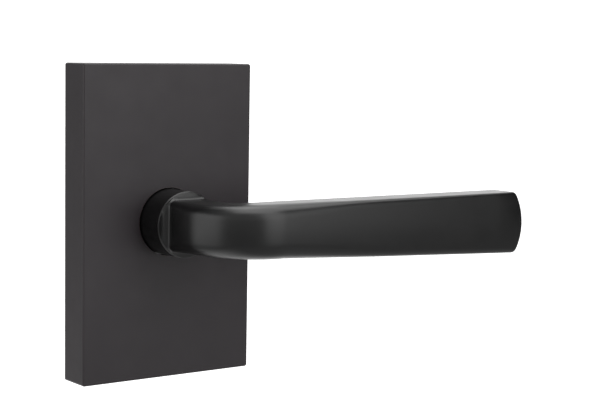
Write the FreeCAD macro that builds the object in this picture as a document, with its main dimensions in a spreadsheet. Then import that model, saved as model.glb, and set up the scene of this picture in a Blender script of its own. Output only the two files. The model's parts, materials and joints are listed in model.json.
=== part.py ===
import FreeCAD, Part
import math
import os

import Sketcher
from FreeCAD import Placement, Rotation, Vector

# A door lever handle with its rectangular rose, as it sits on one side of a door.
# The origin is on the spindle axis, in the plane of the door's face.
# +X runs along the lever's arm, +Y into the door and +Z up, so the user stands at -Y.
# All lengths are in millimetres. "front" is the distance of a face from the door, towards the user.

DRIVING_SIZES = {
    # rectangular cover of the rose
    "cover_wide": 74.2,
    "cover_high": 120.65,
    "cover_front": 14.3,
    "cover_wall": 2.5,
    "cover_corner": 0.9,
    "cover_edge": 0.7,
    "cover_hole_radius": 13.1,
    "grub_across": 20.0,
    "grub_front": 7.0,
    "grub_radius": 2.0,
    "grub_point_radius": 1.0,
    "grub_key": 2.0,
    # plate that is screwed to the door
    "base_gap": 0.5,
    "base_thick": 2.0,
    "tab_front": 9.5,
    "tab_wide": 16.0,
    # threaded posts that reach through the door
    "post_spacing": 40.0,
    "post_radius": 4.0,
    "post_stub_radius": 3.0,
    "post_long": 22.0,
    "post_thread_radius": 2.5,
    "post_thread_deep": 18.0,
    # spring cassette
    "washer_inner": 12.9,
    "washer_outer": 19.0,
    "cassette_front": 11.0,
    "cassette_wall": 1.2,
    "cassette_inner": 22.5,
    "cassette_outer": 24.0,
    "ear_reach": 27.0,
    "ear_half": 3.5,
    "ear_thick": 1.5,
    "ear_screw_radius": 1.5,
    "ear_head_radius": 2.8,
    "ear_head_thick": 1.7,
    "bush_outer": 11.0,
    "bush_flange_radius": 13.0,
    "bush_flange_thick": 0.8,
    "rear_bush_outer": 8.5,
    "running_clearance": 0.05,
    "pin_circle": 18.0,
    "pin_radius": 2.0,
    "pin_angle": 62.0,
    # drive hub
    "hub_stem_radius": 8.0,
    "hub_stem_front": 24.0,
    "hub_flat": 6.5,
    "hub_journal_radius": 9.0,
    "hub_shoulder_front": 11.1,
    "hub_flange_front": 8.9,
    "hub_flange_thick": 2.0,
    "hub_flange_radius": 15.0,
    "hub_barrel_radius": 9.5,
    "hub_tail_radius": 7.0,
    "hub_tail_front": 2.1,
    "hub_tail_back": 3.9,
    "hub_groove_radius": 6.5,
    "lug_radius": 20.0,
    "lug_half_angle": 10.0,
    "dog_inner": 14.0,
    "dog_outer": 17.0,
    "dog_wide": 6.0,
    "dog_back_gap": 0.3,
    "anchor_inner": 18.0,
    "anchor_outer": 20.5,
    "clip_start": 1.2,
    "clip_thick": 1.1,
    "clip_outer": 9.5,
    "clip_opening": 7.0,
    "thrust_start": 0.1,
    "thrust_thick": 1.0,
    "thrust_outer": 11.0,
    # spindle
    "spindle_side": 8.0,
    "spindle_slack": 0.1,
    "spindle_front": 22.0,
    "spindle_back": 48.0,
    "spindle_chamfer": 0.8,
    "cross_pin_radius": 1.25,
    "cross_pin_long": 10.5,
    "cross_pin_back": 5.4,
    # return spring
    "wire_radius": 0.75,
    "coil_radius": 12.5,
    "coil_pitch": 1.55,
    "coil_front": 5.95,
    "leg_reach": 21.0,
    "leg_bend": 2.0,
    # lever
    "neck_radius": 12.7,
    "seat_radius": 12.35,
    "seat_front": 27.3,
    "shank_half": 8.56,
    "shank_corner": 2.6,
    "shank_corner_at_seat": 1.4,
    "seat_fillet": 1.6,
    "arm_front": 66.7,
    "arm_thick": 14.5,
    "shank_top": 9.5,
    "shank_bottom": 9.6,
    "arm_start": 20.5,
    "arm_top_at_start": 10.4,
    "arm_bottom_at_start": 10.1,
    "arm_top_at_tip": 10.0,
    "arm_bottom_at_tip": 15.0,
    "arm_reach": 137.7,
    "tip_radius": 23.0,
    "tip_corner": 2.0,
    "bend_outer": 26.0,
    "bend_inner": 9.0,
    "upper_edge": 1.0,
    "lower_edge": 2.0,
    "back_edge": 1.6,
    "bore_slack": 0.05,
    "bore_front": 25.0,
    "set_screw_front": 19.0,
    "set_screw_radius": 3.0,
    "set_screw_sunk": 0.5,
    "set_screw_key": 3.0,
}

ALONG_Y = Rotation(Vector(1, 0, 0), -90)
UPRIGHT = Rotation()

document = FreeCAD.newDocument("door_lever_handle")


def make_sheet():
    """The driving dimensions, one per row, each with its own alias."""
    made = document.addObject("Spreadsheet::Sheet", "Sizes")
    for row, (alias, amount) in enumerate(DRIVING_SIZES.items(), start=1):
        made.set(f"A{row}", alias)
        made.set(f"B{row}", str(amount))
        made.setAlias(f"B{row}", alias)
    document.recompute()
    return made


sheet = make_sheet()


class Size:
    """A length worked out from the sheet, with the expression that keeps it bound to the sheet."""

    def __init__(self, number, text):
        self.number = number
        self.text = text

    def __add__(self, other):
        other = as_size(other)
        return Size(self.number + other.number, f"({self.text} + {other.text})")

    def __sub__(self, other):
        other = as_size(other)
        return Size(self.number - other.number, f"({self.text} - {other.text})")

    def __mul__(self, factor):
        return Size(self.number * factor, f"({self.text} * {factor})")

    def __truediv__(self, divisor):
        return Size(self.number / divisor, f"({self.text} / {divisor})")

    def __neg__(self):
        return Size(-self.number, f"(0 - {self.text})")


def as_size(amount):
    if isinstance(amount, Size):
        return amount
    return Size(float(amount), str(amount))


def size(alias):
    return Size(float(sheet.get(alias)), f"Sizes.{alias}")


def bind(item, prop, amount):
    item.setExpression(prop, as_size(amount).text)


def place(item, x=0, y=0, z=0, rotation=UPRIGHT):
    """Stands a primitive at a place that follows the sheet."""
    item.Placement = Placement(Vector(0, 0, 0), rotation)
    bind(item, "Placement.Base.x", x)
    bind(item, "Placement.Base.y", y)
    bind(item, "Placement.Base.z", z)


def rod(name, radius, start, end, x=0, z=0):
    """A round bar along +Y, from y = start to y = end."""
    made = document.addObject("Part::Cylinder", name)
    bind(made, "Radius", radius)
    bind(made, "Height", as_size(end) - start)
    place(made, x, start, z, ALONG_Y)
    return made


def upright_rod(name, radius, low, high, x=0, y=0):
    """A round bar along +Z, from z = low to z = high."""
    made = document.addObject("Part::Cylinder", name)
    bind(made, "Radius", radius)
    bind(made, "Height", as_size(high) - low)
    place(made, x, y, low)
    return made


def block(name, x_span, y_span, z_span):
    """A box between two limits along each axis."""
    made = document.addObject("Part::Box", name)
    bind(made, "Length", as_size(x_span[1]) - x_span[0])
    bind(made, "Width", as_size(y_span[1]) - y_span[0])
    bind(made, "Height", as_size(z_span[1]) - z_span[0])
    place(made, x_span[0], y_span[0], z_span[0])
    return made


def hexagon_bar(name, across_flats, low, high, x, y):
    """A six-sided bar along +Z, the shape of a key's socket."""
    made = document.addObject("Part::Prism", name)
    made.Polygon = 6
    bind(made, "Circumradius", across_flats / math.sqrt(3))
    bind(made, "Height", as_size(high) - low)
    place(made, x, y, low)
    return made


def cut(name, base, tool):
    made = document.addObject("Part::Cut", name)
    made.Base = base
    made.Tool = tool
    return made


def fuse(name, pieces):
    made = document.addObject("Part::MultiFuse", name)
    made.Shapes = pieces
    made.Refine = True
    return made


def common(name, first, second):
    made = document.addObject("Part::MultiCommon", name)
    made.Shapes = [first, second]
    return made


def sketch_in(body, plane_role, name, front=0):
    """A sketch on one of the body's own origin planes, moved off it by front."""
    made = body.newObject("Sketcher::SketchObject", name)
    for feature in body.Origin.OriginFeatures:
        if feature.Role == plane_role:
            made.AttachmentSupport = [(feature, "")]
    made.MapMode = "FlatFace"
    bind(made, "AttachmentOffset.Base.z", front)
    return made


def fix_point(sketch, geometry, point, x, y):
    """Holds one point of a sketch at a place that follows the sheet."""
    for kind, amount in (("DistanceX", as_size(x)), ("DistanceY", as_size(y))):
        index = sketch.addConstraint(Sketcher.Constraint(kind, -1, 1, geometry, point, amount.number))
        title = f"{kind}_{geometry + 1}_{point}"
        sketch.renameConstraint(index, title)
        sketch.setExpression(f"Constraints.{title}", amount.text)


def fix_radius(sketch, geometry, radius):
    index = sketch.addConstraint(Sketcher.Constraint("Radius", geometry, as_size(radius).number))
    title = f"Radius_{geometry + 1}"
    sketch.renameConstraint(index, title)
    sketch.setExpression(f"Constraints.{title}", as_size(radius).text)


def draw_outline(sketch, corners):
    """A closed outline of straight sides, every corner bound to the sheet."""
    first = sketch.GeometryCount
    count = len(corners)
    points = [Vector(as_size(x).number, as_size(y).number, 0) for x, y in corners]
    for side in range(count):
        sketch.addGeometry(Part.LineSegment(points[side], points[(side + 1) % count]), False)
    for side in range(count):
        following = first + (side + 1) % count
        sketch.addConstraint(Sketcher.Constraint("Coincident", first + side, 2, following, 1))
    for side, (x, y) in enumerate(corners):
        fix_point(sketch, first + side, 1, x, y)


def draw_rectangle(sketch, x_span, y_span):
    draw_outline(sketch, [(x_span[0], y_span[0]), (x_span[1], y_span[0]),
                          (x_span[1], y_span[1]), (x_span[0], y_span[1])])


def draw_circle(sketch, radius, x=0, y=0):
    centre = Vector(as_size(x).number, as_size(y).number, 0)
    index = sketch.addGeometry(Part.Circle(centre, Vector(0, 0, 1), as_size(radius).number), False)
    fix_point(sketch, index, 3, x, y)
    fix_radius(sketch, index, radius)


def new_body(name):
    return document.addObject("PartDesign::Body", name)


def pad(body, sketch, name, length, both_ways=False):
    made = body.newObject("PartDesign::Pad", name)
    made.Profile = sketch
    if both_ways:
        made.SideType = "Symmetric"
    bind(made, "Length", length)
    return made


def pocket(body, sketch, name, length):
    """Cuts towards the user from a sketch that faces the user."""
    made = body.newObject("PartDesign::Pocket", name)
    made.Profile = sketch
    made.Reversed = True
    bind(made, "Length", length)
    return made


def turned(name, profile):
    """A turned piece: its half profile, as (radius, y) corners, spun about the Y axis."""
    body = new_body(name)
    sketch = sketch_in(body, "XY_Plane", f"{name}_profile")
    draw_outline(sketch, profile)
    spin = body.newObject("PartDesign::Revolution", f"{name}_turning")
    spin.Profile = sketch
    spin.ReferenceAxis = (sketch, ["V_Axis"])
    spin.Angle = 360
    body.Tip = spin
    return body


def ring(name, inner, outer, start, end):
    """A plain ring around the spindle axis."""
    return turned(name, [(inner, start), (outer, start), (outer, end), (inner, end)])


def edge_names(shape, wanted):
    """The names of a shape's edges whose bounding box passes the test."""
    return [f"Edge{index}" for index, edge in enumerate(shape.Edges, start=1) if wanted(edge.BoundBox)]


def round_edges(body, name, radius, wanted):
    """A PartDesign fillet on the edges of the body's last feature that pass the test."""
    document.recompute()
    last = body.Tip
    made = body.newObject("PartDesign::Fillet", name)
    made.Base = (last, edge_names(last.Shape, wanted))
    bind(made, "Radius", radius)
    body.Tip = made
    return made


def same(first, second):
    return abs(first - second) < 0.01


# The rose: what stays still on the door.

def rosette_cover():
    """Rectangular cover, a shell open at the back, with the hole for the lever's neck."""
    front = size("cover_front")
    wall = size("cover_wall")
    half_wide = size("cover_wide") / 2
    half_high = size("cover_high") / 2
    body = new_body("rosette_cover_shell")
    outline = sketch_in(body, "XZ_Plane", "cover_outline")
    draw_rectangle(outline, (-half_wide, half_wide), (-half_high, half_high))
    pad(body, outline, "cover_block", front)
    round_edges(body, "cover_corners", size("cover_corner"), lambda box: same(box.YLength, front.number))
    round_edges(body, "cover_front_edge", size("cover_edge"),
                lambda box: same(box.YMin, -front.number) and same(box.YMax, -front.number))
    inside = sketch_in(body, "XZ_Plane", "cover_inside")
    draw_rectangle(inside, (-half_wide + wall, half_wide - wall), (-half_high + wall, half_high - wall))
    pocket(body, inside, "cover_hollow", front - wall)
    hole = sketch_in(body, "XZ_Plane", "cover_neck_hole")
    draw_circle(hole, size("cover_hole_radius"))
    pocket(body, hole, "cover_opening", front)
    holes = [upright_rod(f"cover_grub_hole_{number}", size("grub_radius"), -half_high, -half_high + wall,
                         size("grub_across") * side, -size("grub_front"))
             for number, side in ((1, -1), (2, 1))]
    drilled = cut("rosette_cover_drilled", body, fuse("cover_grub_holes", holes))
    pegs = [upright_rod(f"cover_peg_{number}", size("grub_point_radius"), half_high - wall * 2,
                        half_high - wall, size("grub_across") * side, -size("grub_front"))
            for number, side in ((1, -1), (2, 1))]
    return fuse("rosette_cover", [drilled] + pegs)


def cover_grub_screw(number, side):
    """Socket screw in the cover's lower wall, its point in the base plate's lower tab."""
    across = size("grub_across") * side
    along = -size("grub_front")
    outside = -size("cover_high") / 2
    seat = outside + size("cover_wall") + size("base_gap")
    name = f"cover_grub_screw_{number}"
    shank = upright_rod(f"{name}_shank", size("grub_radius"), outside + 0.1, seat, across, along)
    point = upright_rod(f"{name}_point", size("grub_point_radius"), seat, seat + size("base_thick"),
                        across, along)
    key = hexagon_bar(f"{name}_key", size("grub_key"), outside + 0.1, outside + 1.6, across, along)
    return cut(name, fuse(f"{name}_blank", [shank, point]), key)


def mounting_plate():
    """Pressed steel plate with a bent tab at the top and at the bottom."""
    thick = size("base_thick")
    inset = size("cover_wall") + size("base_gap")
    half_wide = size("cover_wide") / 2 - inset
    half_high = size("cover_high") / 2 - inset
    body = new_body("mounting_plate_pressing")
    outline = sketch_in(body, "XZ_Plane", "plate_outline")
    draw_rectangle(outline, (-half_wide, half_wide), (-half_high, half_high))
    pad(body, outline, "plate_sheet", thick)
    for side, title in ((1, "upper"), (-1, "lower")):
        tab = sketch_in(body, "XZ_Plane", f"plate_{title}_tabs")
        for along in (-1, 1):
            middle = size("grub_across") * along
            draw_rectangle(tab, (middle - size("tab_wide") / 2, middle + size("tab_wide") / 2),
                           ((half_high - thick) * side, half_high * side))
        pad(body, tab, f"plate_{title}_tab_pair", size("tab_front"))
    holes = sketch_in(body, "XZ_Plane", "plate_holes")
    draw_circle(holes, size("rear_bush_outer"))
    for side in (-1, 1):
        draw_circle(holes, size("post_stub_radius"), 0, size("post_spacing") / 2 * side)
        draw_circle(holes, size("pin_radius"), pin_across() * side, pin_up())
    for across, up in ear_places():
        draw_circle(holes, size("ear_screw_radius"), across, up)
    pocket(body, holes, "plate_openings", thick)
    points = [upright_rod(f"plate_point_hole_{title}_{number}", size("grub_point_radius"), low, low + thick,
                          size("grub_across") * side, -size("grub_front"))
              for title, low in (("upper", half_high - thick), ("lower", -half_high))
              for number, side in ((1, -1), (2, 1))]
    return cut("mounting_plate", body, fuse("plate_point_holes", points))


def pin_across():
    return size("pin_circle") * math.sin(math.radians(DRIVING_SIZES["pin_angle"]))


def pin_up():
    return size("pin_circle") * math.cos(math.radians(DRIVING_SIZES["pin_angle"]))


def ear_places():
    """The four ears of the cassette stand on the diagonals."""
    step = size("ear_reach") * math.sin(math.radians(45))
    return [(step * side, step * up) for side in (-1, 1) for up in (-1, 1)]


def threaded_post(title, side):
    """Post that a through screw from the door's other side pulls on."""
    up = size("post_spacing") / 2 * side
    name = f"threaded_post_{title}"
    barrel = rod(f"{name}_barrel", size("post_radius"), 0, size("post_long"), 0, up)
    stub = rod(f"{name}_stub", size("post_stub_radius"), -size("base_thick"), 0, 0, up)
    thread = rod(f"{name}_thread", size("post_thread_radius"), size("post_long") - size("post_thread_deep"),
                 size("post_long"), 0, up)
    return cut(name, fuse(f"{name}_blank", [barrel, stub]), thread)


def cassette_housing():
    """Round spring case with four ears, and the block that the spring's legs rest against."""
    front = -size("cassette_front")
    wall = size("cassette_wall")
    back = -size("base_thick")
    inner = size("cassette_inner")
    drum = turned("cassette_drum", [(size("bush_outer"), front), (size("cassette_outer"), front),
                                    (size("cassette_outer"), back), (inner, back),
                                    (inner, front + wall), (size("bush_outer"), front + wall)])
    pieces = [drum]
    for number, (across, up) in enumerate(ear_places(), start=1):
        pieces.append(rod(f"cassette_ear_{number}", size("ear_half"), back - size("ear_thick"), back,
                          across, up))
    half = size("dog_wide") / 2
    pieces.append(block("cassette_anchor", (-half, half), (front + wall, back - size("dog_back_gap")),
                        (-size("anchor_outer"), -size("anchor_inner"))))
    pieces.append(block("cassette_anchor_root", (-half, half), (front + wall, front + wall * 2),
                        (-inner - wall / 2, -size("anchor_outer"))))
    screws = [rod(f"cassette_ear_hole_{number}", size("ear_screw_radius"), back - size("ear_thick"), back,
                  across, up)
              for number, (across, up) in enumerate(ear_places(), start=1)]
    hollow = rod("cassette_inside", inner, back - size("ear_thick"), back)
    pins = [rod(f"cassette_pin_hole_{number}", size("pin_radius"), front, front + wall,
                pin_across() * side, pin_up())
            for number, side in ((1, -1), (2, 1))]
    cleared = cut("cassette_cleared", fuse("cassette_blank", pieces), hollow)
    return cut("cassette_housing", cleared, fuse("cassette_holes", screws + pins))


def cassette_screw(number, across, up):
    """Pan-head screw through one ear into the base plate."""
    seat = -size("base_thick") - size("ear_thick")
    name = f"cassette_screw_{number}"
    head = rod(f"{name}_head", size("ear_head_radius"), seat - size("ear_head_thick"), seat, across, up)
    shank = rod(f"{name}_shank", size("ear_screw_radius"), seat, -0.1, across, up)
    half = size("ear_head_radius") * 0.7
    slot_deep = size("ear_head_thick") / 2
    slots = [block(f"{name}_slot_{turn}", (across - half * wide, across + half * wide),
                   (seat - size("ear_head_thick"), seat - size("ear_head_thick") + slot_deep),
                   (up - half * tall, up + half * tall))
             for turn, wide, tall in ((1, 1, 0.25), (2, 0.25, 1))]
    return cut(name, fuse(f"{name}_blank", [head, shank]), fuse(f"{name}_cross", slots))


def front_bush():
    """Flanged bearing for the hub in the front of the spring case."""
    front = -size("cassette_front")
    seat = front + size("cassette_wall")
    inner = size("hub_journal_radius") + size("running_clearance")
    return turned("front_bush", [(inner, front), (size("bush_outer"), front), (size("bush_outer"), seat),
                                 (size("bush_flange_radius"), seat),
                                 (size("bush_flange_radius"), seat + size("bush_flange_thick")),
                                 (inner, seat + size("bush_flange_thick"))])


def rear_bush():
    return ring("rear_bush", size("hub_tail_radius") + size("running_clearance"), size("rear_bush_outer"),
                -size("base_thick"), 0)


def neck_washer():
    """Plastic washer between the cover and the spring case, around the neck."""
    return ring("neck_washer", size("washer_inner"), size("washer_outer"),
                -size("cover_front") + size("cover_wall"), -size("cassette_front"))


def stop_pin(title, side):
    """Pin that the hub's lug meets at the end of the lever's travel."""
    return rod(f"stop_pin_{title}", size("pin_radius"), -size("cassette_front"), 0,
               pin_across() * side, pin_up())


def helix_point(angle, radius, front, rise):
    """A point of the coil and the coil's direction there; the angle runs from straight down towards +X."""
    along = front + rise * angle / (2 * math.pi)
    point = Vector(radius * math.sin(angle), along, -radius * math.cos(angle))
    direction = Vector(radius * math.cos(angle), rise / (2 * math.pi), radius * math.sin(angle))
    return point, direction.normalize()


def spring_leg(point, leaving, bend, reach):
    """The bend that leaves the coil and the straight leg that points down: their edges, coil end first."""
    down = Vector(0, 0, -1)
    towards = (down - leaving * down.dot(leaving)).normalize()
    turn = math.acos(down.dot(leaving))
    centre = point + towards * bend
    middle = centre - towards * (bend * math.cos(turn / 2)) + leaving * (bend * math.sin(turn / 2))
    corner = centre - towards * (bend * math.cos(turn)) + leaving * (bend * math.sin(turn))
    foot = Vector(corner.x, corner.y, -reach)
    return [Part.Arc(point, middle, corner).toShape(), Part.LineSegment(corner, foot).toShape()], foot


def return_spring():
    """Torsion spring: nearly two turns around the hub's barrel, with a leg on each side of the dog."""
    wire = size("wire_radius").number
    radius = size("coil_radius").number
    rise = size("coil_pitch").number
    bend = size("leg_bend").number
    reach = size("leg_reach").number
    beside_dog = size("dog_wide").number / 2 + wire + size("running_clearance").number
    first_angle = math.asin((beside_dog + bend) / (radius + bend))
    last_angle = 4 * math.pi - first_angle
    front = -size("coil_front").number
    steps = 20
    points = [helix_point(first_angle + (last_angle - first_angle) * step / steps, radius, front, rise)
              for step in range(steps + 1)]
    coil = Part.BSplineCurve()
    coil.interpolate(Points=[point for point, direction in points], Tangents=[d for point, d in points])
    first_leg, first_foot = spring_leg(points[0][0], points[0][1] * -1, bend, reach)
    last_leg, last_foot = spring_leg(points[-1][0], points[-1][1], bend, reach)
    path = Part.Wire([first_leg[1], first_leg[0], coil.toShape(), last_leg[0], last_leg[1]])
    section = Part.Wire([Part.makeCircle(wire, first_foot, Vector(0, 0, 1))])
    made = document.addObject("Part::Feature", "return_spring")
    made.Shape = path.makePipeShell([section], True, False)
    made.Placement = Placement()
    return made


def thrust_washer():
    start = size("thrust_start")
    return ring("thrust_washer", size("hub_tail_radius") + size("running_clearance"), size("thrust_outer"),
                start, start + size("thrust_thick"))


# The lever: what turns.

def drive_hub():
    """Hub that carries the lever at the front and the spindle at the back."""
    flange = -size("hub_flange_front")
    back = -size("hub_tail_front")
    end = size("hub_tail_back")
    groove = size("clip_start")
    groove_end = groove + size("clip_thick")
    flange_end = flange + size("hub_flange_thick")
    turning = turned("hub_turning", [
        (0, -size("hub_stem_front")),
        (size("hub_stem_radius"), -size("hub_stem_front")),
        (size("hub_stem_radius"), -size("hub_shoulder_front")),
        (size("hub_journal_radius"), -size("hub_shoulder_front")),
        (size("hub_journal_radius"), flange),
        (size("hub_flange_radius"), flange),
        (size("hub_flange_radius"), flange_end),
        (size("hub_barrel_radius"), flange_end),
        (size("hub_barrel_radius"), back),
        (size("hub_tail_radius"), back),
        (size("hub_tail_radius"), groove),
        (size("hub_groove_radius"), groove),
        (size("hub_groove_radius"), groove_end),
        (size("hub_tail_radius"), groove_end),
        (size("hub_tail_radius"), end),
        (0, end)])
    lug = document.addObject("Part::Cylinder", "hub_lug")
    bind(lug, "Radius", size("lug_radius"))
    bind(lug, "Height", size("hub_flange_thick"))
    lug.Angle = 2 * DRIVING_SIZES["lug_half_angle"]
    turn_up = Rotation(Vector(0, 1, 0), -90 - DRIVING_SIZES["lug_half_angle"])
    place(lug, 0, flange, 0, turn_up.multiply(ALONG_Y))
    half = size("dog_wide") / 2
    dog = block("hub_dog", (-half, half), (flange, -size("base_thick") - size("dog_back_gap")),
                (-size("dog_outer"), -size("dog_inner")))
    flat = block("hub_flat_cut", (-size("hub_stem_radius"), size("hub_stem_radius")),
                 (-size("hub_stem_front"), -size("hub_shoulder_front")),
                 (-size("hub_stem_radius"), -size("hub_flat")))
    hole = size("spindle_side") / 2 + size("spindle_slack") / 2
    square = block("hub_square_hole", (-hole, hole), (-size("hub_stem_front"), end), (-hole, hole))
    return cut("drive_hub", fuse("hub_blank", [turning, lug, dog]), fuse("hub_cuts", [flat, square]))


def spindle():
    """Square bar that turns the latch, chamfered at both ends."""
    half = size("spindle_side") / 2
    bar = block("spindle_bar", (-half, half), (-size("spindle_front"), size("spindle_back")), (-half, half))
    document.recompute()
    ends = document.addObject("Part::Chamfer", "spindle_ends")
    ends.Base = bar
    chamfer = size("spindle_chamfer").number
    limits = (bar.Shape.BoundBox.YMin, bar.Shape.BoundBox.YMax)
    ends.Edges = [(index, chamfer, chamfer) for index, edge in enumerate(bar.Shape.Edges, start=1)
                  if edge.BoundBox.YLength < 0.01 and any(same(edge.BoundBox.YMin, end) for end in limits)]
    hole = upright_rod("spindle_pin_hole", size("cross_pin_radius"), -half, half, 0, size("cross_pin_back"))
    return cut("spindle", ends, hole)


def spindle_cross_pin():
    """Pin that keeps the spindle from sliding out through the hub."""
    half = size("cross_pin_long") / 2
    return upright_rod("spindle_cross_pin", size("cross_pin_radius"), -half, half, 0, size("cross_pin_back"))


def hub_circlip():
    """Open spring ring in the groove behind the base plate."""
    start = size("clip_start")
    end = start + size("clip_thick")
    whole = ring("circlip_ring", size("hub_groove_radius"), size("clip_outer"), start, end)
    gap = size("clip_opening") / 2
    mouth = block("circlip_mouth", (-gap, gap), (start, end), (-size("clip_outer"), 0))
    return cut("hub_circlip", whole, mouth)


def lever_set_screw():
    """Socket screw in the underside of the neck, tightened onto the hub's flat."""
    head = -size("neck_radius") + size("set_screw_sunk")
    along = -size("set_screw_front")
    body = upright_rod("set_screw_body", size("set_screw_radius"), head, -size("hub_flat"), 0, along)
    key = hexagon_bar("set_screw_socket", size("set_screw_key"), head, head + size("set_screw_radius"),
                      0, along)
    return cut("lever_set_screw", body, key)


def lever_plan():
    """The lever seen from above: shank, bend and arm, as thick as the casting is tall."""
    half = size("shank_half")
    front = -size("arm_front")
    back = front + size("arm_thick")
    reach = size("arm_reach")
    body = new_body("lever_plan")
    outline = sketch_in(body, "XY_Plane", "lever_plan_outline")
    draw_outline(outline, [(-half, -size("seat_front") + 1), (-half, front), (reach, front),
                           (reach, back), (half, back), (half, -size("seat_front") + 1)])
    pad(body, outline, "lever_plan_block", size("arm_bottom_at_tip") * 3, both_ways=True)
    round_edges(body, "lever_outer_bend", size("bend_outer"),
                lambda box: same(box.XMin, -half.number) and same(box.YMin, front.number)
                and box.ZLength > 1 and box.XLength < 1)
    round_edges(body, "lever_inner_bend", size("bend_inner"),
                lambda box: same(box.XMin, half.number) and same(box.YMin, back.number)
                and box.ZLength > 1 and box.XLength < 1)
    return body


def lever_face():
    """The lever seen by the user: nearly level on top, falling away below, with a softly rounded end."""
    reach = size("arm_reach")
    radius = size("tip_radius")
    top = size("arm_top_at_tip")
    bottom = size("arm_bottom_at_tip")
    fixed_corners = [(size("arm_start"), size("arm_top_at_start")),
                     (-size("shank_half") - 2, size("shank_top")),
                     (-size("shank_half") - 2, -size("shank_bottom")),
                     (size("arm_start"), -size("arm_bottom_at_start"))]
    middle = (top - bottom) / 2
    centre = Vector(reach.number - radius.number, middle.number, 0)
    half_angle = math.asin((top + bottom).number / 2 / radius.number)
    corner_x = centre.x + radius.number * math.cos(half_angle)
    body = new_body("lever_face")
    outline = sketch_in(body, "XZ_Plane", "lever_face_outline")
    corners = [Vector(corner_x, top.number, 0)]
    corners += [Vector(across.number, up.number, 0) for across, up in fixed_corners]
    corners += [Vector(corner_x, -bottom.number, 0)]
    for here, there in zip(corners, corners[1:]):
        outline.addGeometry(Part.LineSegment(here, there), False)
    outline.addGeometry(Part.ArcOfCircle(Part.Circle(centre, Vector(0, 0, 1), radius.number),
                                         -half_angle, half_angle), False)
    sides = len(corners)
    for side in range(sides):
        outline.addConstraint(Sketcher.Constraint("Coincident", side, 2, (side + 1) % sides, 1))
    for side, (across, up) in enumerate(fixed_corners, start=1):
        fix_point(outline, side, 1, across, up)
    fix_radius(outline, sides - 1, radius)
    fix_point(outline, sides - 1, 3, reach - radius, middle)
    for title, end, level in (("tip_low", 1, -bottom), ("tip_top", 2, top)):
        index = outline.addConstraint(Sketcher.Constraint("DistanceY", -1, 1, sides - 1, end, level.number))
        outline.renameConstraint(index, title)
        outline.setExpression(f"Constraints.{title}", level.text)
    pad(body, outline, "lever_face_block", size("arm_front") + 10)
    round_edges(body, "lever_tip_corners", size("tip_corner"),
                lambda box: box.YLength > 10 and box.XMin > centre.x)
    return body


def edge_radius(point):
    """Corner radius at one corner of the bare lever: full at the bend and the back, finer elsewhere."""
    if point.y > -size("seat_front").number:
        return size("shank_corner_at_seat").number if point.x < 0 else size("back_edge").number
    if point.y > -size("arm_front").number + 1:
        return size("shank_corner").number if point.x < 0 else size("back_edge").number
    if point.z > 1:
        return size("upper_edge").number
    if point.z < -1:
        return size("lower_edge").number
    return (size("upper_edge").number + size("lower_edge").number) / 2


def is_long_edge(edge):
    """True for the edges that run along the lever and around its end."""
    box = edge.BoundBox
    at_seat = box.YLength < 0.01 and box.YMax > -size("seat_front").number
    near_tip = box.XMax > size("arm_reach").number - size("tip_radius").number
    upright = box.ZLength > size("shank_top").number and not near_tip
    across = box.XMin > size("shank_half").number + 1 and box.XLength < 0.01 and box.YLength > 1
    return not (at_seat or upright or across)


def lever_bar():
    """Shank, bend and arm in one, with all its long edges rounded."""
    bare = common("lever_bare", lever_plan(), lever_face())
    document.recompute()
    made = document.addObject("Part::Fillet", "lever_bar")
    made.Base = bare
    made.Edges = [(index, edge_radius(edge.Vertexes[0].Point), edge_radius(edge.Vertexes[-1].Point))
                  for index, edge in enumerate(bare.Shape.Edges, start=1) if is_long_edge(edge)]
    return made


def lever_seat(bar):
    """The shank flows into the round end of the neck through a hollow corner that the neck's rim trims."""
    seat = -size("seat_front")
    far = size("seat_radius") * 2
    disc = block("seat_disc", (-far, far), (seat, seat + 1), (-far, far))
    joined = fuse("seat_joined", [bar, disc])
    document.recompute()
    hollow = document.addObject("Part::Fillet", "seat_hollow")
    hollow.Base = joined
    radius = size("seat_fillet").number
    hollow.Edges = [(index, radius, radius) for index, edge in enumerate(joined.Shape.Edges, start=1)
                    if edge.BoundBox.YLength < 0.01 and same(edge.BoundBox.YMin, seat.number)
                    and edge.BoundBox.DiagonalLength < far.number]
    block_around = block("seat_trim_block", (-far * 1.1, far * 1.1), (seat - size("seat_fillet"), seat + 1),
                         (-far * 1.1, far * 1.1))
    keep = rod("seat_trim_keep", size("seat_radius"), seat - size("seat_fillet"), seat + 1)
    return cut("lever_on_seat", hollow, cut("seat_trim", block_around, keep))


def lever_handle():
    """One casting: arm, bend, shank and round neck, bored for the hub's stem."""
    seat = -size("seat_front")
    rim = size("neck_radius") - size("seat_radius")
    neck = turned("lever_neck", [(0, seat), (size("seat_radius"), seat), (size("neck_radius"), seat + rim),
                                 (size("neck_radius"), -size("hub_shoulder_front")),
                                 (0, -size("hub_shoulder_front"))])
    whole = fuse("lever_blank", [lever_seat(lever_bar()), neck])
    bore_radius = size("hub_stem_radius") + size("bore_slack")
    round_bore = rod("lever_round_bore", bore_radius, -size("bore_front"), -size("hub_shoulder_front"))
    flat = size("hub_flat") + size("bore_slack")
    above_flat = block("lever_bore_flat", (-bore_radius, bore_radius),
                       (-size("bore_front"), -size("hub_shoulder_front")), (-flat, bore_radius))
    bore = common("lever_bore", round_bore, above_flat)
    screw_hole = upright_rod("lever_screw_hole", size("set_screw_radius"), -size("neck_radius") - 1, 0,
                             0, -size("set_screw_front"))
    return cut("lever_handle", whole, fuse("lever_hollows", [bore, screw_hole]))


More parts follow.
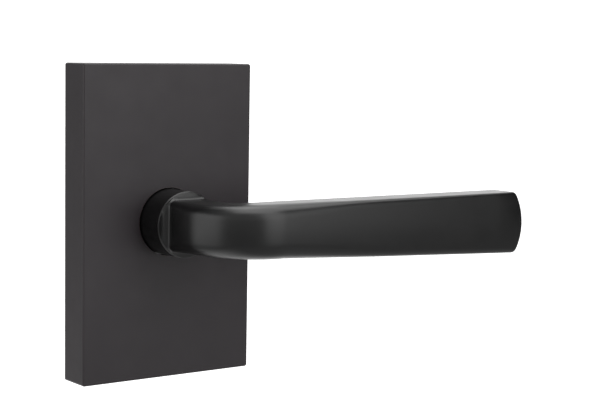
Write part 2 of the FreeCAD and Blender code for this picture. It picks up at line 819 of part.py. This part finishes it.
def build():
    """Every sub-part, in the order from the door towards the user."""
    parts = [rosette_cover(), mounting_plate(), cassette_housing()]
    parts += [cover_grub_screw(number, side) for number, side in ((1, -1), (2, 1))]
    parts += [threaded_post(title, side) for title, side in (("upper", 1), ("lower", -1))]
    parts += [cassette_screw(number, across, up)
              for number, (across, up) in enumerate(ear_places(), start=1)]
    parts += [front_bush(), rear_bush(), neck_washer()]
    parts += [stop_pin(title, side) for title, side in (("left", -1), ("right", 1))]
    parts += [return_spring(), thrust_washer()]
    parts += [drive_hub(), spindle(), spindle_cross_pin(), hub_circlip()]
    parts += [lever_set_screw(), lever_handle()]
    return parts


def check_document():
    """Stops with a message when any object of the document failed to compute."""
    for item in document.Objects:
        for state in item.State:
            if state in ("Invalid", "Error"):
                raise RuntimeError(f"{item.Name} is {state}")


def write_parts(parts):
    os.makedirs("parts", exist_ok=True)
    for part in parts:
        shape = part.Shape
        if shape.isNull() or not shape.isValid() or len(shape.Solids) != 1:
            raise RuntimeError(f"{part.Label} is not one sound solid")
    for part in parts:
        part.Shape.exportStep(f"parts/{part.Label}.step")
        print(part.Label, round(part.Shape.Volume, 1))


finished = build()
document.recompute()
check_document()
write_parts(finished)
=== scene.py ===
import json
import math

import bmesh
import bpy
from mathutils import Matrix, Vector


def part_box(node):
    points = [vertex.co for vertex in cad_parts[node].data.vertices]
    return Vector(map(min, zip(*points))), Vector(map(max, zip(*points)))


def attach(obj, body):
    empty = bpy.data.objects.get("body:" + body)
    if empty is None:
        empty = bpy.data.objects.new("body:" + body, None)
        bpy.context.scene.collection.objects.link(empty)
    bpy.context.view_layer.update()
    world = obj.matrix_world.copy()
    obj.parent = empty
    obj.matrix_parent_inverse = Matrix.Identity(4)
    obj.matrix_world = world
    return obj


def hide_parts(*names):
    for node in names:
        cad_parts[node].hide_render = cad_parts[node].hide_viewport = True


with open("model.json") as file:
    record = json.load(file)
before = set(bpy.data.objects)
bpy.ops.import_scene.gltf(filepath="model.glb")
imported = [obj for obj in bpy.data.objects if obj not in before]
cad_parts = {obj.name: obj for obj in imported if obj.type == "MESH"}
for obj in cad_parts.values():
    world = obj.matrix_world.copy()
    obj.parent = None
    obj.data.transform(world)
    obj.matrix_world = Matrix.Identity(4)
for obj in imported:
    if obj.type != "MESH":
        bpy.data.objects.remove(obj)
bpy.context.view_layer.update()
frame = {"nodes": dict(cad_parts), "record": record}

# The lever's shape in millimetres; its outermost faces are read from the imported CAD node.
# "front" and "back" are places along Y, "level" is a height, and the arm runs along X.

MM = 0.001
LEVER_LOW, LEVER_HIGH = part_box("lever_handle")
NECK_RADIUS = -LEVER_LOW.x / MM
NECK_BACK = LEVER_HIGH.y / MM
ARM_FRONT = LEVER_LOW.y / MM
ARM_REACH = LEVER_HIGH.x / MM
SEAT_FRONT = -27.3
SEAT_RADIUS = 12.35
SEAT_HOLLOW = 1.4
SEAT_SPREAD = 3.0
SEAT_FALL = 0.15
SHANK_SIDE = -8.56
SHANK_WIDE = 17.12
SHANK_TOP = 9.55
SHANK_BOTTOM = -9.6
ARM_THICK = 14.5
BEND_RADIUS = 26.0
BEND_X = SHANK_SIDE + BEND_RADIUS
BEND_Y = ARM_FRONT + BEND_RADIUS
BEND_STARTS = SEAT_FRONT - BEND_Y
BEND_ENDS = BEND_STARTS + BEND_RADIUS * math.pi / 2
ARM_START = 20.5
ARM_TOP = 10.4
ARM_BOTTOM = -10.15
BACK_EDGE = 1.6
TIP_RADIUS = 24.5
TIP_CORNER = 2.6
TIP_TOP = 10.0
TIP_BOTTOM = -15.0
TIP_LEVELS_AT = 133.0
TIP_MIDDLE = -3.1
TIP_ROLL_START = 125.0
TIP_ROLL_RADIUS = 75.0
CROWN_RADIUS = 80.0
BORE_RADIUS = 8.05
BORE_FLAT = -6.55
BORE_FRONT = -25.0
BORE_BACK = -10.0
SCREW_HOLE_RADIUS = 3.0
SCREW_HOLE_FRONT = -19.0
SCREW_HOLE_SPAN = (-14.0, -4.0)
SHARP_ANGLE = math.radians(35.0)

# Camera: in front of the door, to the lever's hinge side and a little above it.

CAMERA_TARGET = Vector((0.07270, 0.0, 0.00153))
CAMERA_DISTANCE = 0.66712
CAMERA_AZIMUTH = math.radians(-36.361)
CAMERA_ELEVATION = math.radians(5.926)
CAMERA_ROLL = math.radians(0.942)
CAMERA_LENS = 95.94


def make_camera():
    """Camera at its azimuth, elevation and distance from the target, rolled about its own axis."""
    back = Vector((math.sin(CAMERA_AZIMUTH) * math.cos(CAMERA_ELEVATION),
                   -math.cos(CAMERA_AZIMUTH) * math.cos(CAMERA_ELEVATION),
                   math.sin(CAMERA_ELEVATION)))
    right = (-back).cross(Vector((0, 0, 1))).normalized()
    up = back.cross(right)
    rolled_right = right * math.cos(CAMERA_ROLL) + up * math.sin(CAMERA_ROLL)
    rolled_up = up * math.cos(CAMERA_ROLL) - right * math.sin(CAMERA_ROLL)
    turned = Matrix((rolled_right, rolled_up, back)).transposed().to_4x4()
    data = bpy.data.cameras.new("camera")
    data.lens = CAMERA_LENS
    data.sensor_width = 36.0
    data.clip_start = 0.01
    data.clip_end = 50.0
    camera = bpy.data.objects.new("camera", data)
    camera.matrix_world = Matrix.Translation(CAMERA_TARGET + back * CAMERA_DISTANCE) @ turned
    bpy.context.scene.collection.objects.link(camera)
    bpy.context.scene.camera = camera


# Surround brightness by compass direction, in degrees from the user's side towards the lever's tip.
# The first two stops are the two ends of the turn; the others stand in rising order.

SURROUND_STRENGTH = 1.6
SURROUND = ((-180.0, 0.5), (180.0, 0.5), (-160.0, 0.15), (-135.0, 0.15), (-60.0, 0.45), (-20.0, 0.45),
            (20.0, 0.36), (36.0, 0.24), (50.0, 0.04), (112.0, 0.06), (128.0, 1.0), (164.0, 1.0))
FLOOR_GLOW = 0.8


# Small helpers for node materials.

def new_material(name):
    material = bpy.data.materials.new(name)
    material.use_nodes = True
    tree = material.node_tree
    shader = tree.nodes["Principled BSDF"]
    return material, tree, shader


def add_node(tree, kind, **settings):
    node = tree.nodes.new(kind)
    for key, value in settings.items():
        setattr(node, key, value)
    return node


def noise(tree, scale, detail=4.0, stretch=(1, 1, 1)):
    """Noise in the frame's own metres, stretched along the axes."""
    place = add_node(tree, "ShaderNodeTexCoord")
    mapping = add_node(tree, "ShaderNodeMapping")
    mapping.inputs["Scale"].default_value = stretch
    texture = add_node(tree, "ShaderNodeTexNoise")
    texture.inputs["Scale"].default_value = scale
    texture.inputs["Detail"].default_value = detail
    texture.inputs["Roughness"].default_value = 0.55
    tree.links.new(place.outputs["Object"], mapping.inputs["Vector"])
    tree.links.new(mapping.outputs["Vector"], texture.inputs["Vector"])
    return texture.outputs["Fac"]


def remap(tree, value, low, high, from_low=0.3, from_high=0.7):
    """Stretches a value to the range low to high; the default limits suit a noise texture."""
    node = add_node(tree, "ShaderNodeMapRange")
    node.inputs["From Min"].default_value = from_low
    node.inputs["From Max"].default_value = from_high
    node.inputs["To Min"].default_value = low
    node.inputs["To Max"].default_value = high
    tree.links.new(value, node.inputs["Value"])
    return node.outputs["Result"]


def mix_colour(tree, factor, first, second):
    """Mixes two colours, each either three numbers or another node's output."""
    node = add_node(tree, "ShaderNodeMix", data_type="RGBA")
    tree.links.new(factor, node.inputs["Factor"])
    for socket, colour in ((node.inputs[6], first), (node.inputs[7], second)):
        if isinstance(colour, tuple):
            socket.default_value = (*colour, 1.0)
        else:
            tree.links.new(colour, socket)
    return node.outputs[2]


def bump(tree, shader, height, strength, distance):
    node = add_node(tree, "ShaderNodeBump")
    node.inputs["Strength"].default_value = strength
    node.inputs["Distance"].default_value = distance
    tree.links.new(height, node.inputs["Height"])
    tree.links.new(node.outputs["Normal"], shader.inputs["Normal"])


def edge_wear(tree, radius, amount):
    """A patchy mask along sharp edges, from how far the surface turns within a small radius."""
    rounded = add_node(tree, "ShaderNodeBevel", samples=4)
    rounded.inputs["Radius"].default_value = radius
    surface = add_node(tree, "ShaderNodeNewGeometry")
    alike = add_node(tree, "ShaderNodeVectorMath", operation="DOT_PRODUCT")
    tree.links.new(rounded.outputs["Normal"], alike.inputs[0])
    tree.links.new(surface.outputs["Normal"], alike.inputs[1])
    turned = remap(tree, alike.outputs["Value"], 1.0, 0.0, 0.80, 0.985)
    patch = remap(tree, noise(tree, 420.0, 4.0), 0.25 * amount, amount, 0.40, 0.65)
    worn = add_node(tree, "ShaderNodeMath", operation="MULTIPLY")
    tree.links.new(turned, worn.inputs[0])
    tree.links.new(patch, worn.inputs[1])
    return worn.outputs["Value"]


def painted_black(name, colour, lighter, worn, rough_low, rough_high, grain):
    """Satin or matte black finish: fine orange-peel grain, cloudy gloss, colour drift and rubbed edges."""
    material, tree, shader = new_material(name)
    cloud = noise(tree, 38.0, 3.0)
    coat = mix_colour(tree, remap(tree, cloud, 0.0, 1.0), colour, lighter)
    rubbed = mix_colour(tree, edge_wear(tree, 0.0007, 0.8), coat, worn)
    tree.links.new(rubbed, shader.inputs["Base Color"])
    gloss = noise(tree, 130.0, 5.0)
    tree.links.new(remap(tree, gloss, rough_low, rough_high), shader.inputs["Roughness"])
    bump(tree, shader, noise(tree, 2600.0, 2.0), 0.12, grain)
    return material


def plated_metal(name, colour, roughness, brushed=(1, 1, 1)):
    """Bare or zinc-plated metal with brushed roughness and small stains."""
    material, tree, shader = new_material(name)
    stain = noise(tree, 160.0, 6.0)
    darker = tuple(channel * 0.72 for channel in colour)
    brighter = tuple(min(channel * 1.3, 0.9) for channel in colour)
    plating = mix_colour(tree, remap(tree, stain, 0.0, 1.0), darker, colour)
    rubbed = mix_colour(tree, edge_wear(tree, 0.0004, 0.7), plating, brighter)
    tree.links.new(rubbed, shader.inputs["Base Color"])
    shader.inputs["Metallic"].default_value = 1.0
    streak = noise(tree, 900.0, 3.0, stretch=brushed)
    tree.links.new(remap(tree, streak, roughness * 0.75, roughness * 1.3), shader.inputs["Roughness"])
    bump(tree, shader, streak, 0.15, 0.00004)
    return material


def moulded_plastic(name, colour, roughness):
    """Plain plastic with faint clouds, an uneven gloss and a fine skin."""
    material, tree, shader = new_material(name)
    cloud = noise(tree, 90.0, 3.0)
    lighter = tuple(min(1.0, channel * 1.12 + 0.004) for channel in colour)
    clouded = mix_colour(tree, remap(tree, cloud, 0.0, 1.0), colour, lighter)
    tree.links.new(clouded, shader.inputs["Base Color"])
    gloss = noise(tree, 600.0)
    tree.links.new(remap(tree, gloss, roughness * 0.85, roughness * 1.15), shader.inputs["Roughness"])
    bump(tree, shader, noise(tree, 1500.0, 2.0), 0.1, 0.00003)
    return material


# The lever casting: rings of points along shank, bend and arm, laid out flat and then bent.

def steps(first, last, count):
    return [first + (last - first) * number / count for number in range(count + 1)]


def blend(value, stations):
    """Smoothly joined values: stations are (place, value) pairs in rising order."""
    for (low, first), (high, last) in zip(stations, stations[1:]):
        if value <= high:
            part = min(max((value - low) / (high - low), 0.0), 1.0)
            return first + (last - first) * part * part * (3 - 2 * part)
    return stations[-1][1]


def flat_place(x):
    """Distance from the seat along the outer face to the point of the arm at x."""
    return BEND_ENDS + x - BEND_X


def long_edge_level(along, shank, arm, tip):
    """Height of a long edge: eased from shank to arm, then straight to the tip."""
    arm_place = flat_place(ARM_START)
    if along < arm_place:
        return blend(along, ((BEND_STARTS, shank), (arm_place, arm)))
    return arm + (tip - arm) * (along - arm_place) / (flat_place(TIP_LEVELS_AT) - arm_place)


def top_level(along):
    return long_edge_level(along, SHANK_TOP, ARM_TOP, TIP_TOP)


def bottom_level(along):
    return long_edge_level(along, SHANK_BOTTOM, ARM_BOTTOM, TIP_BOTTOM)


def thickness(along):
    """Front-to-back thickness of the bar."""
    return blend(along, ((BEND_STARTS, SHANK_WIDE), (BEND_ENDS, ARM_THICK)))


def front_round(along, side):
    """Radius of a front edge (side 1 is the upper one): full on the bend, finer along the arm."""
    if side > 0:
        return blend(along, ((0, 2.6), (BEND_STARTS, 4.2), (BEND_ENDS - 8, 5.0), (flat_place(62), 1.9),
                             (flat_place(126), 1.2), (flat_place(ARM_REACH), 1.5)))
    return blend(along, ((0, 2.6), (BEND_STARTS, 4.4), (BEND_ENDS - 4, 5.8), (flat_place(72), 2.8),
                         (flat_place(126), 2.2), (flat_place(ARM_REACH), 1.5)))


def outline(side):
    """One long side laid flat, from seat to the middle of the tip: place, level and inward normal."""
    level = top_level if side > 0 else bottom_level
    hollow = [SEAT_HOLLOW * (1 - math.cos(turn)) for turn in steps(0, math.pi / 2, 10)]
    places = hollow + steps(SEAT_HOLLOW, BEND_STARTS, 5)[1:]
    places += steps(BEND_STARTS, BEND_ENDS, 22)[1:] + steps(BEND_ENDS, flat_place(ARM_START), 3)[1:]
    centre_x = ARM_REACH - TIP_RADIUS
    corner_z = abs((TIP_TOP if side > 0 else TIP_BOTTOM) - TIP_MIDDLE) - TIP_CORNER
    corner_x = centre_x + math.sqrt((TIP_RADIUS - TIP_CORNER) ** 2 - corner_z ** 2)
    places += steps(flat_place(ARM_START), flat_place(corner_x), 26)[1:]
    points = [(along, level(along), 0.0, -side) for along in places]
    meets = math.atan2(corner_z, corner_x - centre_x)
    corner_middle = level(flat_place(corner_x)) - side * TIP_CORNER
    for turn in steps(math.pi / 2, meets, 6)[1:]:
        points.append((flat_place(corner_x + TIP_CORNER * math.cos(turn)),
                       corner_middle + side * TIP_CORNER * math.sin(turn),
                       -math.cos(turn), -side * math.sin(turn)))
    for turn in steps(meets, 0, 14)[1:]:
        points.append((flat_place(centre_x + TIP_RADIUS * math.cos(turn)),
                       TIP_MIDDLE + side * TIP_RADIUS * math.sin(turn),
                       -math.cos(turn), -side * math.sin(turn)))
    return points


def bend_round(along, depth):
    """Takes a point of the flat layout, depth behind the outer face, to its place on the bent lever."""
    if along < BEND_STARTS:
        return SHANK_SIDE + depth, SEAT_FRONT - along
    if along < BEND_ENDS:
        turn = (along - BEND_STARTS) / BEND_RADIUS
        radius = BEND_RADIUS - depth
        return BEND_X - radius * math.cos(turn), BEND_Y - radius * math.sin(turn)
    return BEND_X + along - BEND_ENDS, ARM_FRONT + depth


def seat_flare(along):
    """How far the hollow corner spreads the shank where it meets the round end of the neck."""
    short = max(SEAT_HOLLOW - along, 0.0) / SEAT_HOLLOW
    return SEAT_SPREAD * (1 - math.sqrt(1 - short ** 2))


def seat_fall(spread):
    """How far the end of the neck has sloped back at this distance from the axis."""
    return SEAT_FALL * max(spread + SHANK_SIDE, 0.0) / (SEAT_RADIUS + SHANK_SIDE)


def lever_ring(top, bottom):
    """One ring round the lever, starting at the lower end of the front face."""
    middle = (top[1] + bottom[1]) / 2
    along_top = top[0]
    thick = thickness(along_top)
    crowning = blend(along_top, ((SEAT_HOLLOW, 0.0), (BEND_STARTS, 1.0)))
    flare = seat_flare(along_top)

    def crown(along, level):
        rolled = max(along - flat_place(TIP_ROLL_START), 0.0) ** 2 / (2 * TIP_ROLL_RADIUS)
        return crowning * (level - middle) ** 2 / (2 * CROWN_RADIUS) + rolled

    def place(along, level, depth, out_depth, out_level):
        x, y = bend_round(along, depth + flare * out_depth)
        z = level + flare * out_level
        spread = math.hypot(x, z)
        if along <= SEAT_HOLLOW:
            if spread > SEAT_RADIUS:
                x, z = x * SEAT_RADIUS / spread, z * SEAT_RADIUS / spread
            y += seat_fall(min(spread, SEAT_RADIUS)) * (1 - along / SEAT_HOLLOW)
        return Vector((x, y, z)) * MM

    def edge(point, side, turns, radius, front):
        """The rounded edge of one side, by how far it has turned away from the front or the back."""
        made = []
        for turn in turns:
            inset = radius * (1 - math.sin(turn))
            drop = radius * (1 - math.cos(turn))
            along = point[0] + point[2] * inset
            level = point[1] + point[3] * inset
            depth = crown(along, level) + drop if front else thick - drop
            out = -math.cos(turn) if front else math.cos(turn)
            made.append(place(along, level, depth, out, side * math.sin(turn)))
        return made

    def face(first, last, count, front):
        """Points between the two rounded edges of the front or the back, ends left out."""
        made = []
        for part in steps(0.0, 1.0, count)[1:-1]:
            along = first[0] + (last[0] - first[0]) * part
            level = first[1] + (last[1] - first[1]) * part
            depth = crown(along, level) if front else thick
            made.append(place(along, level, depth, -1.0 if front else 1.0, 0.0))
        return made

    def wall(point, side, radius, downward):
        low, high = crown(point[0], point[1]) + radius, thick - BACK_EDGE
        parts = steps(low, high, 7)[1:-1]
        depths = parts if downward else parts[::-1]
        return [place(point[0], point[1], depth, 0.0, side) for depth in depths]

    def inset_point(point, radius):
        return point[0] + point[2] * radius, point[1] + point[3] * radius

    quarter = steps(0.0, math.pi / 2, 8)
    top_radius = front_round(along_top, 1)
    bottom_radius = front_round(along_top, -1)
    ring = face(inset_point(bottom, bottom_radius), inset_point(top, top_radius), 12, True)
    ring += edge(top, 1, quarter, top_radius, True)
    ring += wall(top, 1, top_radius, True)
    ring += edge(top, 1, quarter[::-1], BACK_EDGE, False)
    ring += face(inset_point(top, BACK_EDGE), inset_point(bottom, BACK_EDGE), 8, False)
    ring += edge(bottom, -1, quarter, BACK_EDGE, False)
    ring += wall(bottom, -1, bottom_radius, False)
    ring += edge(bottom, -1, quarter[::-1], bottom_radius, True)
    return ring


def neck_ring(around, radius, back):
    """The same points moved out to a circle of the neck."""
    made = []
    for point in around:
        spread = math.hypot(point.x, point.z)
        made.append(Vector((point.x / spread * radius * MM, back * MM, point.z / spread * radius * MM)))
    return made


def mesh_object(name, rings, close_last=True):
    """A closed tube through rings of points, each with the same number of points."""
    mesh = bpy.data.meshes.new(name)
    shape = bmesh.new()
    made = [[shape.verts.new(point) for point in ring] for ring in rings]
    size = len(rings[0])
    for one, two in zip(made, made[1:]):
        for here in range(size):
            there = (here + 1) % size
            shape.faces.new((one[here], one[there], two[there], two[here]))
    shape.faces.new(made[0][::-1])
    if close_last:
        shape.faces.new(made[-1])
    bmesh.ops.remove_doubles(shape, verts=shape.verts, dist=0.000004)
    bmesh.ops.dissolve_degenerate(shape, edges=shape.edges, dist=0.000002)
    bmesh.ops.recalc_face_normals(shape, faces=shape.faces)
    shape.to_mesh(mesh)
    shape.free()
    made_object = bpy.data.objects.new(name, mesh)
    bpy.context.scene.collection.objects.link(made_object)
    return made_object


def drill(piece, cutter):
    """Takes the cutter's shape out of the piece and removes the cutter."""
    modifier = piece.modifiers.new("drill", "BOOLEAN")
    modifier.operation = "DIFFERENCE"
    modifier.solver = "EXACT"
    modifier.object = cutter
    bpy.context.view_layer.update()
    drilled = bpy.data.meshes.new_from_object(piece.evaluated_get(bpy.context.evaluated_depsgraph_get()))
    piece.modifiers.clear()
    piece.data = drilled
    bpy.data.objects.remove(cutter)


def smooth(piece):
    piece.data.polygons.foreach_set("use_smooth", [True] * len(piece.data.polygons))
    piece.data.set_sharp_from_angle(angle=SHARP_ANGLE)
    piece.data.update()


def make_lever(material):
    """The whole casting: round neck, seat, shank, bend and arm, with its bore and set-screw hole."""
    rim = NECK_RADIUS - SEAT_RADIUS
    rings = [lever_ring(top, bottom) for top, bottom in zip(outline(1), outline(-1))]
    seat = rings[0]
    shoulder = SEAT_FRONT + SEAT_FALL
    neck = [neck_ring(seat, NECK_RADIUS, NECK_BACK), neck_ring(seat, NECK_RADIUS, shoulder + rim),
            neck_ring(seat, SEAT_RADIUS, shoulder)]
    lever = mesh_object("lever_casting", neck + rings, close_last=False)
    bore = [(BORE_RADIUS * math.cos(turn), max(BORE_RADIUS * math.sin(turn), BORE_FLAT))
            for turn in steps(0, 2 * math.pi, 72)[:-1]]
    drill(lever, mesh_object("bore_cutter", [[Vector((x, y, z)) * MM for x, z in bore]
                                             for y in (BORE_FRONT, BORE_BACK)]))
    hole = [(SCREW_HOLE_RADIUS * math.cos(turn), SCREW_HOLE_FRONT + SCREW_HOLE_RADIUS * math.sin(turn))
            for turn in steps(0, 2 * math.pi, 40)[:-1]]
    drill(lever, mesh_object("hole_cutter", [[Vector((x, y, z)) * MM for x, y in hole]
                                             for z in SCREW_HOLE_SPAN]))
    smooth(lever)
    lever.data.materials.clear()
    lever.data.materials.append(material)
    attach(lever, "lever")
    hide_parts("lever_handle")


def dress(node, material):
    """Gives a CAD node its finished material and smooth shading with crisp edges."""
    piece = frame["nodes"][node]
    piece.data.materials.clear()
    piece.data.materials.append(material)
    smooth(piece)


def dress_everything():
    lever_black = painted_black("lever_satin_black", (0.0006, 0.0006, 0.0007), (0.0011, 0.0011, 0.0012),
                                (0.010, 0.009, 0.008), 0.30, 0.36, 0.00002)
    cover_black = painted_black("cover_matte_black", (0.0125, 0.0090, 0.0113), (0.0168, 0.0126, 0.0153),
                                (0.040, 0.024, 0.017), 0.44, 0.50, 0.00003)
    screw_black = painted_black("screw_black_oxide", (0.012, 0.012, 0.013), (0.02, 0.02, 0.021),
                                (0.060, 0.058, 0.056), 0.35, 0.50, 0.00002)
    zinc = plated_metal("zinc_plated_steel", (0.60, 0.61, 0.62), 0.34, (1, 1, 6))
    cast = plated_metal("cast_zinc", (0.46, 0.46, 0.47), 0.48)
    hard = plated_metal("hardened_steel", (0.42, 0.42, 0.43), 0.26, (1, 8, 1))
    spring = plated_metal("spring_steel", (0.24, 0.24, 0.25), 0.3)
    acetal = moulded_plastic("acetal_white", (0.78, 0.77, 0.73), 0.38)
    nylon = moulded_plastic("nylon_black", (0.018, 0.018, 0.019), 0.55)
    finishes = {"black_lever": lever_black, "black_cover": cover_black, "black_screw": screw_black,
                "zinc_steel": zinc, "cast_zinc": cast, "hard_steel": hard, "spring_steel": spring,
                "bush_plastic": acetal, "washer_plastic": nylon}
    for subpart in frame["record"]["subparts"]:
        dress(subpart["node"], finishes[subpart["material_slot"]])
    make_lever(lever_black)


# Stage: a pale floor and surround, white behind the door line, and three soft boxes.

def floor_ramp(tree, place, direction, start, end):
    """Rises from 0 to 1 between two distances from the origin along a direction."""
    across = add_node(tree, "ShaderNodeVectorMath", operation="DOT_PRODUCT")
    across.inputs[1].default_value = direction
    tree.links.new(place.outputs["Object"], across.inputs[0])
    return remap(tree, across.outputs["Value"], 0.0, 1.0, start, end)


def make_floor():
    """Pale floor with painted light and shade: it glows white behind the object, and its colour darkens to
    grey towards the user, the right and the far left.
    """
    mesh = bpy.data.meshes.new("floor")
    half = 6.0
    level = -0.35
    corners = [(-half, -half, level), (half, -half, level), (half, half, level), (-half, half, level)]
    mesh.from_pydata(corners, [], [(0, 1, 2, 3)])
    floor = bpy.data.objects.new("floor", mesh)
    bpy.context.scene.collection.objects.link(floor)
    material, tree, shader = new_material("floor_pale")
    shader.inputs["Roughness"].default_value = 0.9
    shader.inputs["Emission Color"].default_value = (1, 1, 1, 1)
    place = add_node(tree, "ShaderNodeTexCoord")
    behind = floor_ramp(tree, place, (-0.6, 1.0, 0.0), -0.14, 0.07)
    beside = floor_ramp(tree, place, (1.0, 0.0, 0.0), -0.5, -0.1)
    both = add_node(tree, "ShaderNodeMath", operation="MULTIPLY")
    tree.links.new(behind, both.inputs[0])
    tree.links.new(beside, both.inputs[1])
    # Painted light and shade: where this mask is 1 the floor glows white, and where it is 0 the floor's
    # colour is a darker grey.
    painted_light_and_shade = both.outputs["Value"]
    tree.links.new(remap(tree, painted_light_and_shade, 0.0, FLOOR_GLOW, 0.0, 1.0), shader.inputs["Emission Strength"])
    tree.links.new(mix_colour(tree, painted_light_and_shade, (0.4, 0.4, 0.4), (0.9, 0.9, 0.9)), shader.inputs["Base Color"])
    mesh.materials.append(material)


def soft_box(name, place, size, radiance):
    """A rectangular soft light that faces the object; its brightness is given per unit area."""
    data = bpy.data.lights.new(name, "AREA")
    data.shape = "RECTANGLE"
    data.size, data.size_y = size
    data.energy = radiance * math.pi * size[0] * size[1]
    lamp = bpy.data.objects.new(name, data)
    lamp.location = place
    lamp.rotation_euler = (-lamp.location).to_track_quat("-Z", "Y").to_euler()
    bpy.context.scene.collection.objects.link(lamp)


def around(azimuth, elevation, distance):
    """A place around the origin, by degrees from the user's side and degrees above the floor."""
    turn = math.radians(azimuth)
    lift = math.radians(elevation)
    return Vector((distance * math.sin(turn) * math.cos(lift), -distance * math.cos(turn) * math.cos(lift),
                   distance * math.sin(lift)))


def make_world():
    """Soft surround whose brightness changes with the compass direction, white behind the door line."""
    world = bpy.data.worlds.new("studio")
    bpy.context.scene.world = world
    world.use_nodes = True
    tree = world.node_tree
    place = add_node(tree, "ShaderNodeTexCoord")
    split = add_node(tree, "ShaderNodeSeparateXYZ")
    tree.links.new(place.outputs["Generated"], split.inputs["Vector"])
    toward_user = add_node(tree, "ShaderNodeMath", operation="MULTIPLY")
    toward_user.inputs[1].default_value = -1.0
    tree.links.new(split.outputs["Y"], toward_user.inputs[0])
    compass = add_node(tree, "ShaderNodeMath", operation="ARCTAN2")
    tree.links.new(split.outputs["X"], compass.inputs[0])
    tree.links.new(toward_user.outputs[0], compass.inputs[1])
    turn = remap(tree, compass.outputs[0], 0.0, 1.0, -math.pi, math.pi)
    ramp = add_node(tree, "ShaderNodeValToRGB")
    ramp.color_ramp.interpolation = "EASE"
    stops = ramp.color_ramp.elements
    for number, (degrees, level) in enumerate(SURROUND):
        where = (degrees + 180.0) / 360.0
        stop = stops[number] if number < 2 else stops.new(where)
        stop.position = where
        stop.color = (level, level, level, 1)
    tree.links.new(turn, ramp.inputs["Fac"])
    background = tree.nodes["Background"]
    tree.links.new(ramp.outputs["Color"], background.inputs["Color"])
    background.inputs["Strength"].default_value = SURROUND_STRENGTH


def make_light():
    make_world()
    soft_box("front_right_box", around(18.5, 17.0, 0.9), (0.62, 0.85), 1.95)
    soft_box("left_box", around(-101.0, 8.0, 1.0), (1.1, 0.8), 1.3)
    soft_box("top_box", Vector((0.2, -0.15, 0.95)), (1.2, 1.0), 2.6)
    bpy.context.scene.view_settings.view_transform = "Standard"


make_camera()
dress_everything()
make_floor()
make_light()
